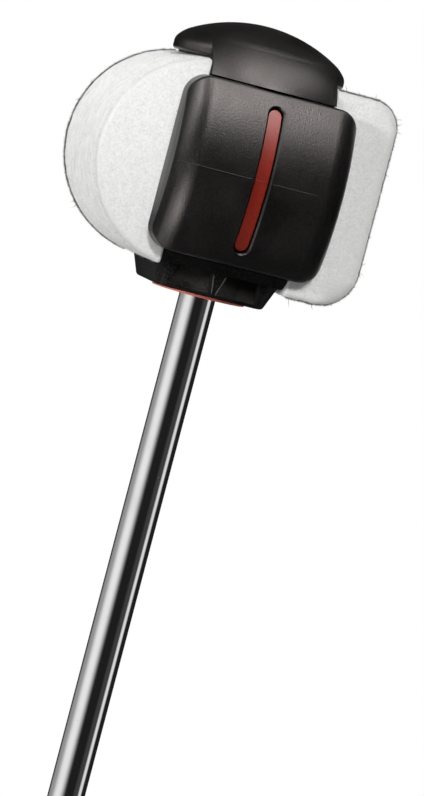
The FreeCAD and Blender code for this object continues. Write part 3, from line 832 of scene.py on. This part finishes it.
@dataclass
class FeltStriker:
    """One felt: a soft block over its plain solid, with layers, a rough skin and loose fibres.

    Noise scales are features per metre, and angles are degrees above the skin.
    """

    node: str
    seed: int
    hair_count: int
    voxel: float = 0.36 * MM
    settle_passes: int = 6
    glue_zone: float = 0.7 * MM
    skin_height: float = 0.1 * MM
    lump_scale: float = 620.0
    lump_octaves: tuple[float, float, int] = (0.9, 2.0, 3)
    layer_height: float = 0.09 * MM
    layer_scales: Triple = (40.0, 1150.0, 40.0)
    crease_depth: float = 0.0
    crease_inset: float = 1.2 * MM
    crease_width: float = 0.32 * MM
    crease_scale: float = 160.0
    crease_slice: float = 3.0
    crease_base: float = 0.6
    crease_break: float = 0.8
    # Painted shade: a darker band along the ridge, and on the flat felt towards its far end and low corner.
    edge_wear: float = 0.4
    soil: float = 0.0
    corner_soil: float = 5.0
    far_shade_start: float = 20.5 * MM
    far_shade_run: float = 8.0 * MM
    far_shade_drop: float = 16.0 * MM
    fuzz_count: int = 5000
    fuzz: Fibres = Fibres("fuzz", 0.4 * MM, 0.018 * MM, 12.0, False)
    # Dark hairs along the side edges: painted shade that outlines the felt.
    hair: Fibres = Fibres("edge_hair", 0.36 * MM, 0.022 * MM, 45.0, True)
    hair_strip: float = 2.4 * MM
    hair_facing: float = 0.4
    front_hair: float = 1.0
    rear_hair: float = 1.0
    covered_facing: float = 0.7
    stray_share: float = 0.003
    stray_length: float = 1.2 * MM
    stray_thickness: float = 3.0
    steepest: float = 80.0
    length_spread: float = 0.4
    length_limit: float = 2.0
    scatter: Span = (-0.5, 0.5)
    curl: Span = (-0.3, 0.9)
    sway: Span = (-0.6, 0.6)
    waist: float = 0.8
    spoke_lean: float = 0.7
    corners: int = 3

    def build(self, finishes: Finishes) -> None:
        """Make the felt and its fibres.

        Args:
            finishes: The beater's materials.
        """
        mesh = soft_copy(self.node, f"{self.node}_wool", self.voxel, self.settle_passes)
        self.roughen(mesh)
        felt = new_piece(f"{self.node}_wool", mesh, finishes.felt, HEAD_BODY)
        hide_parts(self.node)
        for kind, count, material in (
            (self.fuzz, self.fuzz_count, finishes.fibre),
            (self.hair, self.hair_count, finishes.hair),
        ):
            name = f"{self.node}_{kind.word}"
            new_piece(name, self.fibre_mesh(name, mesh, kind, count), material, HEAD_BODY)

    def roughen(self, mesh: Mesh) -> None:
        """Shape the skin and mark where shade is painted on the felt.

        Args:
            mesh: The soft mesh.
        """
        low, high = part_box(self.node)
        back = min(abs(low.x), abs(high.x))
        middle = middle_height(self.node)
        moved, painted_light = [], []
        for vertex in mesh.vertices:
            point, normal = vertex.co.copy(), vertex.normal.copy()
            rim = 1.0 - abs(normal.y)
            free = clamped((abs(point.x) - back) / self.glue_zone)
            moved.append(point + normal * self.rise(point, rim, high.y) * free)
            painted_light.append(self.wear(point, rim, middle))
        mesh.attributes.new("edge", "FLOAT", "POINT").data.foreach_set("value", painted_light)
        move_points(mesh, moved)

    def rise(self, point: Vector, rim: float, half_wide: float) -> float:
        """How far the skin stands out: its lumps, the edges of its layers and the crease along its rim.

        Args:
            point: A point of the smooth skin.
            rim: How squarely the skin there faces away from Y.
            half_wide: The felt's reach along Y.

        Returns:
            The height, negative where the skin is pressed in.
        """
        lumps = noise.fractal(point * self.lump_scale, *self.lump_octaves)
        layer = noise.noise(point * Vector(self.layer_scales))
        patch = Vector((point.x * self.crease_scale, self.crease_slice, point.z * self.crease_scale))
        broken = max(0.0, self.crease_base + self.crease_break * noise.noise(patch))
        offset = (abs(point.y) - half_wide + self.crease_inset) / self.crease_width
        raised = self.skin_height * lumps + self.layer_height * layer * rim
        return raised - self.crease_depth * broken * math.exp(-offset * offset) * rim

    def wear(self, point: Vector, rim: float, middle: float) -> float:
        """How much painted shade the felt gets: along its ridge, and towards the far end and the low corner.

        Args:
            point: A point of the smooth skin.
            rim: How squarely the skin there faces away from Y.
            middle: The height of the felt's middle.

        Returns:
            A share from 0 to 1.
        """
        # Painted shade: darkens the ridge that the lamps light brightly, and the far end and low corner where
        # less light falls.
        ridge = math.sqrt(max(0.0, 4.0 * rim * (1.0 - rim)))
        past = clamped((abs(point.x) - self.far_shade_start) / self.far_shade_run)
        below = clamped((middle - self.far_shade_drop - point.z) / self.far_shade_run)
        far_shading = self.soil * past * (1.0 + self.corner_soil * below)
        return min(1.0, self.edge_wear * ridge + far_shading)

    def fibre_mesh(self, name: str, mesh: Mesh, kind: Fibres, count: int) -> Mesh:
        """Loose fibres over the felt's open faces, as thin closed needles with a bend.

        Args:
            name: The new mesh's name.
            mesh: The finished felt mesh.
            kind: The kind of fibre.
            count: How many fibres.

        Returns:
            The fibres' mesh.
        """
        pick = random.Random(self.seed + kind.at_edges)
        low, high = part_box(self.node)
        back = min(abs(low.x), abs(high.x)) + self.glue_zone
        cover_low, cover_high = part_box("front_cover")
        open_faces, weights = [], []
        for face in mesh.polygons:
            centre = face.center
            covered = abs(centre.x) < cover_high.x and cover_low.z < centre.z < cover_high.z
            if abs(centre.x) > back and not (covered and abs(face.normal.y) > self.covered_facing):
                weight = self.hair_share(face, high.y) if kind.at_edges else 1.0
                open_faces.append(face.index)
                weights.append(weight * face.area)
        areas = np.cumsum(weights)
        points, faces = [], []
        for _ in range(count):
            found = int(np.searchsorted(areas, pick.random() * areas[-1]))
            index = open_faces[min(found, len(open_faces) - 1)]
            self.add_fibre(mesh.polygons[index], kind, pick, points, faces)
        return mesh_of(name, points, faces)

    def hair_share(self, face: MeshPolygon, half_wide: float) -> float:
        """How thickly the dark outline hairs, which paint shade along the silhouette, stand on a face: only
        along the felt's two side edges.

        Args:
            face: The face.
            half_wide: The felt's reach along Y.

        Returns:
            A share from 0 to 1.
        """
        if abs(face.normal.y) > self.hair_facing or abs(face.center.y) < half_wide - self.hair_strip:
            return 0.0
        return self.front_hair if face.center.y < 0 else self.rear_hair

    def add_fibre(
        self, face: MeshPolygon, kind: Fibres, pick: random.Random, points: list, faces: list
    ) -> None:
        """Add one fibre to the lists of points and faces.

        Args:
            face: The face that it grows from.
            kind: The kind of fibre.
            pick: The source of chance.
            points: The points so far.
            faces: The faces so far.
        """
        normal = face.normal
        across = normal.orthogonal().normalized()
        across.rotate(Matrix.Rotation(pick.uniform(0.0, math.tau), 3, normal))
        side = normal.cross(across)
        stray = pick.random() < self.stray_share
        usual = self.stray_length if stray else kind.length
        radius = kind.radius * (self.stray_thickness if stray and kind.at_edges else 1.0)
        length = usual * min(self.length_limit, pick.lognormvariate(0.0, self.length_spread))
        rise = math.radians(pick.uniform(kind.flattest, self.steepest))
        foot = face.center + across * pick.uniform(*self.scatter) * self.voxel
        foot += side * pick.uniform(*self.scatter) * self.voxel
        bend = across * math.cos(rise) + normal * math.sin(rise)
        tip_way = bend + across * pick.uniform(*self.curl) + side * pick.uniform(*self.sway)
        middle = foot + bend * length / 2
        start = len(points)
        for centre, share in ((foot - normal * radius, 1.0), (middle, self.waist)):
            for corner in range(self.corners):
                turn = math.tau * corner / self.corners
                lean = math.sin(turn) * self.spoke_lean
                spoke = side * math.cos(turn) + normal.cross(side) * lean + normal * lean
                points.append(centre + spoke * radius * share)
        points.append(middle + tip_way.normalized() * length / 2)
        waist, tip = start + self.corners, start + self.corners * 2
        for wall in band(start, waist, self.corners):
            faces.append(wall)
            faces.append((wall[3], wall[2], tip))
        faces.append(tuple(range(start, waist))[::-1])


@dataclass
class CoverSet:
    """A push-on side cover with its weight carrier, weights and pad, and the seam left by the mould."""

    side: Side
    side_radius: float = 5.3 * MM
    side_trim: float = 0.2 * MM
    bar_recess: float = 1.1 * MM
    bar_half_width: float = 1.4 * MM
    slot_half_width: float = 2.02 * MM
    seam_width: float = 0.15 * MM
    seam_height: float = 0.014 * MM
    seam_turn: float = math.radians(58.0)
    seam_end: float = 12.6 * MM
    seam_step: float = 0.35 * MM

    @property
    def body(self) -> str:
        """The body that the set moves as."""
        return f"{self.side.word}_cover_set"

    def build(self, finishes: Finishes) -> None:
        """Dress the nodes and add the mould's seams.

        Args:
            finishes: The beater's materials.
        """
        word = self.side.word
        paint(f"{word}_cover", finishes.black)
        paint(f"{word}_weight_carrier", finishes.red)
        paint(f"{word}_left_weight", finishes.steel)
        paint(f"{word}_right_weight", finishes.steel)
        RattlePad(f"{word}_rattle_pad", self.body).build(finishes)
        low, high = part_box(f"{word}_cover")
        reach = max(abs(low.y), abs(high.y))
        hub = high.x + self.side_trim - self.side_radius
        left = self.corner_run(-hub, reach) + self.face_run(-hub, -self.slot_half_width, reach)[1:]
        right = self.face_run(self.slot_half_width, self.seam_end, reach)
        bar = self.face_run(-self.bar_half_width, self.bar_half_width, reach - self.bar_recess)
        self.seam(f"{word}_seam_left", left, finishes.black)
        self.seam(f"{word}_seam_right", right, finishes.black)
        self.seam(f"{word}_bar_seam", bar, finishes.red)

    def face_run(self, start: float, end: float, reach: float) -> Run:
        """Points and outward ways of a seam across the cover's face.

        Args:
            start: Where it starts, along X.
            end: Where it ends, along X.
            reach: How far out the face lies.

        Returns:
            Pairs of a point and its outward way, on the front side.
        """
        count = max(2, round((end - start) / self.seam_step))
        outward = Vector((0.0, -1.0, 0.0))
        places = [start + (end - start) * step / count for step in range(count + 1)]
        return [(Vector((place, -reach, 0.0)), outward) for place in places]

    def corner_run(self, hub_x: float, reach: float) -> Run:
        """Points and outward ways of a seam round the cover's left side edge, up to the face.

        Args:
            hub_x: The edge's centre, along X.
            reach: How far out the face lies.

        Returns:
            Pairs of a point and its outward way, on the front side.
        """
        hub = Vector((hub_x, self.side_radius - reach, 0.0))
        count = round(self.side_radius * self.seam_turn / self.seam_step)
        run = []
        for step in range(count + 1):
            turn = self.seam_turn * (1 - step / count)
            outward = Vector((-math.sin(turn), -math.cos(turn), 0.0))
            run.append((hub + outward * self.side_radius, outward))
        return run

    def seam(self, name: str, run: Run, material: Material) -> None:
        """Add one raised seam as a thin closed bead.

        Args:
            name: The piece's name.
            run: Its points and outward ways, on the front side.
            material: Its finish.
        """
        turn = self.side.turn
        level = Vector((0.0, 0.0, middle_height(f"{self.side.word}_cover")))
        placed = [(turn @ place + level, turn @ outward) for place, outward in run]
        new_piece(name, bead(name, placed, self.seam_width, self.seam_height), material, self.body)


@dataclass
class SkirtRib:
    """The two edges of the rib between a side's pockets in the skirt, as thin beads in a paler plastic that
    paints their highlights.
    """

    side: Side
    top_half: float = 1.4 * MM
    bottom_half: float = 0.4 * MM
    top_depth: float = 14.4 * MM
    bottom_depth: float = 12.485 * MM
    top_drop: float = 21.7 * MM
    bottom_drop: float = 26.2 * MM
    width: float = 0.16 * MM
    height: float = 0.06 * MM
    steps: int = 12

    def build(self, finishes: Finishes) -> None:
        """Add a thin bead along each edge.

        Args:
            finishes: The beater's materials.
        """
        middle = middle_height("front_cover")
        turn = self.side.turn
        slope = math.atan2(self.top_depth - self.bottom_depth, self.bottom_drop - self.top_drop)
        outward = turn @ Vector((0.0, -math.cos(slope), -math.sin(slope)))
        for word, sign in (("left", -1.0), ("right", 1.0)):
            top = Vector((sign * self.top_half, -self.top_depth, middle - self.top_drop))
            bottom = Vector((sign * self.bottom_half, -self.bottom_depth, middle - self.bottom_drop))
            run = [(turn @ bottom.lerp(top, step / self.steps), outward) for step in range(self.steps + 1)]
            name = f"{self.side.word}_rib_{word}"
            mesh = bead(name, run, self.width, self.height)
            new_piece(name, mesh, finishes.painted_light, HEAD_BODY)


@dataclass
class Head:
    """The fixed pieces of the head and the shaft."""

    steel: tuple[str, ...] = ("shaft_cross_pin", "cap_screws", "skirt_screws")
    boards: tuple[str, ...] = ("dome_backing_plate", "flat_backing_plate")
    # Both felts carry painted shade along the ridge, and the flat one also at its far end and low corner.
    felts: tuple[FeltStriker, ...] = (
        FeltStriker(
            "dome_felt", 11, 6500, crease_depth=0.11 * MM, edge_wear=0.7, front_hair=0.02, stray_share=0.001
        ),
        FeltStriker("flat_felt", 23, 6900, soil=0.4, rear_hair=0.15),
    )

    def build(self, finishes: Finishes) -> None:
        """Dress the nodes and build the ribs' edges and both felts.

        Args:
            finishes: The beater's materials.
        """
        for nodes, material in ((self.steel, finishes.steel), (self.boards, finishes.board)):
            for node in nodes:
                paint(node, material)
        paint("core_block", finishes.core)
        paint("top_cap", finishes.black)
        paint("bottom_skirt", finishes.skirt)
        paint("shaft_bush", finishes.bush)
        paint("beater_shaft", finishes.chrome)
        for side in Side:
            SkirtRib(side).build(finishes)
        for felt in self.felts:
            felt.build(finishes)


@dataclass(frozen=True)
class Patch:
    """A soft-edged patch of a card shell: where it lies, in degrees, and how bright it is.

    Angles to the left are counted from the front cover's outward way.
    """

    left: float
    height: float
    half_wide: float
    half_high: float
    level: float
    soft: float

    def share(self, left: float, height: float) -> float:
        """How much of the patch shows in a direction.

        Args:
            left: Angle to the left, in degrees.
            height: Angle above the horizon, in degrees.

        Returns:
            A share from 0 to 1.
        """
        gap = abs((left - self.left + 180.0) % 360.0 - 180.0)
        wide = clamped((self.half_wide + self.soft / 2 - gap) / self.soft)
        high = clamped((self.half_high + self.soft / 2 - abs(height - self.height)) / self.soft)
        return eased(wide) * eased(high)


@dataclass
class CardShell:
    """Dark shell of soft-edged cards, seen only in reflections."""

    name: str
    base: float
    patches: tuple[Patch, ...]
    tint: Colour = WHITE
    step: float = 3.0
    unseen_by: tuple[str, ...] = ("camera", "diffuse", "transmission", "volume_scatter", "shadow")

    def build(self, rings: list[Triple]) -> None:
        """Make the shell.

        Args:
            rings: From the bottom up, each ring's radius, its height and the angle that its cards go by.
        """
        columns = round(360.0 / self.step)
        points, levels, faces = [], [], []
        for radius, height, angle in rings:
            for column in range(columns):
                left = column * self.step
                turn = math.radians(left)
                points.append((-math.sin(turn) * radius, -math.cos(turn) * radius, height))
                levels.append(self.level(left, angle))
        for row in range(len(rings) - 1):
            faces += band(row * columns, (row + 1) * columns, columns)
        mesh = mesh_of(self.name, points, faces)
        mesh.attributes.new("level", "FLOAT", "POINT").data.foreach_set("value", levels)
        mesh.materials.append(self.cloth())
        shell = bpy.data.objects.new(self.name, mesh)
        bpy.context.scene.collection.objects.link(shell)
        for ray in self.unseen_by:
            setattr(shell, f"visible_{ray}", False)

    def cloth(self) -> Material:
        """Make the cards' glowing cloth, which isn't sampled as a lamp.

        Returns:
            Its material.
        """
        shader = Shader.of_material(f"{self.name}_cloth")
        cloth = shader.finish(
            Base_Color=(*BLACK, 1.0),
            Specular_IOR_Level=0.0,
            Emission_Color=(*self.tint, 1.0),
            Emission_Strength=shader.attribute("level"),
        )
        cloth.cycles.emission_sampling = "NONE"
        return cloth

    def level(self, left: float, height: float) -> float:
        """Brightness of the shell in a direction, with both angles in degrees."""
        return self.base + sum(patch.level * patch.share(left, height) for patch in self.patches)


def stand_lamp(light: Light, place: Vector, back: Vector) -> None:
    """Stand a lamp in the scene, out of sight of reflections.

    Args:
        light: The lamp's data.
        place: Where it stands.
        back: The way that its back faces.
    """
    lamp = bpy.data.objects.new(light.name, light)
    lamp.location = place
    lamp.rotation_mode = "QUATERNION"
    lamp.rotation_quaternion = back.to_track_quat("Z", "Y")
    lamp.visible_glossy = False
    bpy.context.scene.collection.objects.link(lamp)


@dataclass(frozen=True)
class SoftBox:
    """A square soft box that points at the head: its angles in degrees, distance, side and brightness."""

    name: str
    left: float
    height: float
    distance: float
    side: float
    radiance: float

    def build(self, head: Vector) -> None:
        """Put the lamp into the scene.

        Args:
            head: The middle of the head.
        """
        light = bpy.data.lights.new(self.name, "AREA")
        light.shape = "RECTANGLE"
        light.size = light.size_y = self.side
        light.energy = self.radiance * math.pi * self.side * self.side
        towards = direction(self.left, self.height)
        stand_lamp(light, head + towards * self.distance, towards)


@dataclass(frozen=True)
class Spot:
    """A soft-edged spot: its aim from the head, cone and angles in degrees, power and own radius."""

    name: str
    aim: Triple
    cone: float
    power: float
    radius: float
    left: float = 4.0
    height: float = 20.0
    distance: float = 0.5

    def build(self, head: Vector) -> None:
        """Put the lamp into the scene.

        Args:
            head: The middle of the head.
        """
        light = bpy.data.lights.new(self.name, "SPOT")
        light.energy = self.power
        light.spot_size = math.radians(self.cone)
        light.spot_blend = 1.0
        light.shadow_soft_size = self.radius
        towards = direction(self.left, self.height) * self.distance
        stand_lamp(light, head + towards, towards - Vector(self.aim))


@dataclass
class Studio:
    """Floor, world, lamps, reflecting cards and the camera, with angles in degrees."""

    image: tuple[int, int] = (424, 796)
    head_pixel: Span = (230.3, 171.3)
    lean: float = 14.75
    view_left: float = 14.5
    view_height: float = 1.0
    distance: float = 0.9
    lens: float = 188.9
    sensor: float = 36.0
    clip: Span = (0.01, 20.0)
    ambient: Span = (0.52, 0.15)
    floor_gap: float = 0.5 * MM
    floor_radius: float = 3.0
    floor_sides: int = 64
    floor_tone: Colour = (0.72, 0.72, 0.72)
    floor_glow: float = 0.34
    floor_fade: Span = (0.14, 0.34)
    floor_grain: Noise = Noise(60.0, 3.0)
    floor_roughness: Span = (0.85, 0.95)
    tent_radius: float = 0.3
    tent_floor_gap: float = 1.0 * MM
    tent_step: float = 3.0
    tent_base: float = 0.008
    tent_tint: Colour = (1.0, 0.97, 0.955)
    tent_patches: tuple[Patch, ...] = (
        Patch(20.0, 59.0, 8.0, 5.0, 22.0, 26.0),
        Patch(18.0, 72.0, 40.0, 10.0, 2.5, 24.0),
        Patch(-42.0, 66.0, 22.0, 12.0, 3.8, 22.0),
        Patch(0.0, 90.0, 180.0, 4.0, 3.0, 44.0),
        Patch(-82.0, 60.0, 24.0, 12.0, 1.9, 20.0),
        Patch(75.0, 62.0, 20.0, 12.0, 1.4, 24.0),
        Patch(-14.0, 48.0, 5.0, 9.0, 18.0, 14.0),
        Patch(-6.0, 38.0, 7.0, 12.0, 8.2, 18.0),
        Patch(62.0, 38.0, 14.0, 8.0, 11.0, 18.0),
        Patch(74.0, 20.0, 14.0, 8.0, 3.1, 18.0),
        Patch(32.0, -26.0, 18.0, 8.0, 8.5, 22.0),
        Patch(66.0, -26.0, 8.0, 10.0, 3.3, 20.0),
        Patch(58.0, 0.0, 30.0, 4.0, 0.24, 14.0),
        Patch(118.0, 4.0, 8.0, 14.0, 1.4, 16.0),
        Patch(26.0, 46.0, 12.0, 6.0, 1.3, 12.0),
        Patch(94.0, 14.0, 6.0, 14.0, 3.5, 12.0),
        Patch(0.0, -90.0, 180.0, 5.0, 0.45, 6.0),
    )
    sleeve_radius: float = 40.0 * MM
    sleeve_gap: float = 0.6 * MM
    sleeve_base: float = 0.014
    sleeve_patches: tuple[Patch, ...] = (
        Patch(91.0, 0.0, 54.0, 90.0, 0.33, 36.0),
        Patch(67.5, 0.0, 27.0, 90.0, 0.58, 42.0),
        Patch(-42.0, 0.0, 14.0, 90.0, 0.04, 16.0),
        Patch(-70.5, 0.0, 11.0, 90.0, 0.83, 12.0),
    )
    lamps: tuple[Spot | SoftBox, ...] = (
        Spot("front_spot", (0.02, -0.017, 0.0), 14.8, 9.6, 0.06),
        Spot("dome_spot", (-0.037, -0.017, 0.014), 9.2, 3.55, 0.025),
        Spot("bush_spot", (-0.008, -0.011, -0.032), 2.6, 3.4, 0.004, 25.0, -19.0),
        SoftBox("top_box", 5.0, 65.0, 0.75, 0.5, 0.2),
        SoftBox("key_box", 58.0, 9.0, 0.9, 0.06, 225.0),
        SoftBox("left_fill", 105.0, 0.0, 0.8, 0.5, 0.3),
        SoftBox("low_left_fill", 95.0, -28.0, 0.35, 0.25, 2.4),
        SoftBox("right_back_box", -105.0, 15.0, 0.8, 0.5, 4.0),
        SoftBox("back_box", 180.0, 22.0, 0.8, 0.5, 4.0),
    )

    @property
    def head(self) -> Vector:
        """The point on the shaft's axis that is level with the covers' middle."""
        return Vector((0.0, 0.0, middle_height("front_cover")))

    def build(self) -> None:
        """Set up everything round the object."""
        scene = bpy.context.scene
        scene.view_settings.view_transform = "Standard"
        self.world(scene)
        self.floor(scene)
        self.cards()
        for lamp in self.lamps:
            lamp.build(self.head)
        self.camera(scene)

    def white_rays(self, shader: Shader) -> NodeSocket:
        """1 for the rays that see the plain white background: camera, glossy and transmission ones.

        Args:
            shader: The node tree to build in.

        Returns:
            The socket.
        """
        path = shader.add("ShaderNodeLightPath", {})
        seen = shader.maths("MAXIMUM", path.outputs["Is Camera Ray"], path.outputs["Is Glossy Ray"])
        return shader.maths("MAXIMUM", seen, path.outputs["Is Transmission Ray"])

    def world(self, scene: Scene) -> None:
        """White background, and for everything else a dim light that is stronger from the left.

        Args:
            scene: The scene.
        """
        shader = Shader(bpy.data.worlds.new("studio_world"))
        dim = shader.spread(shader.axes(shader.place("Generated"))[0], (-1.0, 1.0), self.ambient)
        strength = shader.spread(self.white_rays(shader), UNIT, (dim, 1.0))
        scene.world = shader.finish(Color=(*WHITE, 1.0), Strength=strength)

    def floor(self, scene: Scene) -> None:
        """Pale floor under the shaft that keeps the object's shadow and fades into the background.

        Args:
            scene: The scene.
        """
        shader = Shader.of_material("pale_floor")
        place = shader.place()
        reach = shader.add("ShaderNodeVectorMath", {0: place}, operation="LENGTH").outputs["Value"]
        fade = shader.spread(reach, self.floor_fade)
        glow = shader.spread(fade, UNIT, (self.floor_glow, 1.0))
        material = shader.finish(
            Base_Color=shader.blend(fade, self.floor_tone, BLACK),
            Roughness=shader.spread(shader.cloud(place, self.floor_grain), NOISE_SPAN, self.floor_roughness),
            Specular_IOR_Level=0.0,
            Emission_Color=(*WHITE, 1.0),
            Emission_Strength=shader.maths("MULTIPLY", self.white_rays(shader), glow),
        )
        turns = np.linspace(0, math.tau, self.floor_sides, False)
        corners = [(math.cos(t) * self.floor_radius, math.sin(t) * self.floor_radius, 0.0) for t in turns]
        disc = bpy.data.objects.new("floor", mesh_of("floor", corners, [range(self.floor_sides)]))
        disc.location.z = CAD_BOX[0].z - self.floor_gap
        disc.data.materials.append(material)
        scene.collection.objects.link(disc)

    def cards(self) -> None:
        """Reflecting tent round the head, and a sleeve of cards round the bare shaft."""
        low = CAD_BOX[0].z + self.tent_floor_gap
        rings = []
        for angle in np.arange(-90.0, 90.0 + self.tent_step / 2, self.tent_step):
            turn = math.radians(angle)
            height = max(low, self.head.z + self.tent_radius * math.sin(turn))
            rings.append((self.tent_radius * math.cos(turn), height, angle))
        CardShell("tent", self.tent_base, self.tent_patches, self.tent_tint).build(rings)
        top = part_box("shaft_bush")[0].z - self.sleeve_gap
        rings = [(self.sleeve_radius, height, 0.0) for height in (low, top)]
        CardShell("sleeve", self.sleeve_base, self.sleeve_patches).build(rings)

    def camera(self, scene: Scene) -> None:
        """Place the camera where the picture was taken from.

        Args:
            scene: The scene.
        """
        data = bpy.data.cameras.new("camera")
        data.lens, data.sensor_width = self.lens, self.sensor
        data.clip_start, data.clip_end = self.clip
        turn, lean = math.radians(self.view_left), math.radians(self.lean)
        back = direction(self.view_left, self.view_height)
        level = Vector((math.cos(turn), -math.sin(turn), 0.0))
        rise = back.cross(level)
        right = level * math.cos(lean) + rise * math.sin(lean)
        up = rise * math.cos(lean) - level * math.sin(lean)
        focal = self.lens / self.sensor * max(self.image)
        across = (self.head_pixel[0] - self.image[0] / 2) / focal
        above = (self.image[1] / 2 - self.head_pixel[1]) / focal
        seen = (right * across + up * above - back).normalized()
        aim = seen.rotation_difference(-back).to_matrix()
        axes = aim @ Matrix((right, up, back)).transposed()
        camera = bpy.data.objects.new("camera", data)
        camera.matrix_world = Matrix.Translation(self.head + back * self.distance) @ axes.to_4x4()
        scene.collection.objects.link(camera)
        scene.camera = camera


def main() -> None:
    """Build the beater's looks in order."""
    logging.basicConfig(level=logging.INFO, format="%(message)s")
    finishes = Finishes()
    Head().build(finishes)
    for side in Side:
        CoverSet(side).build(finishes)
    Studio().build()


if __name__ == "__main__":
    main()
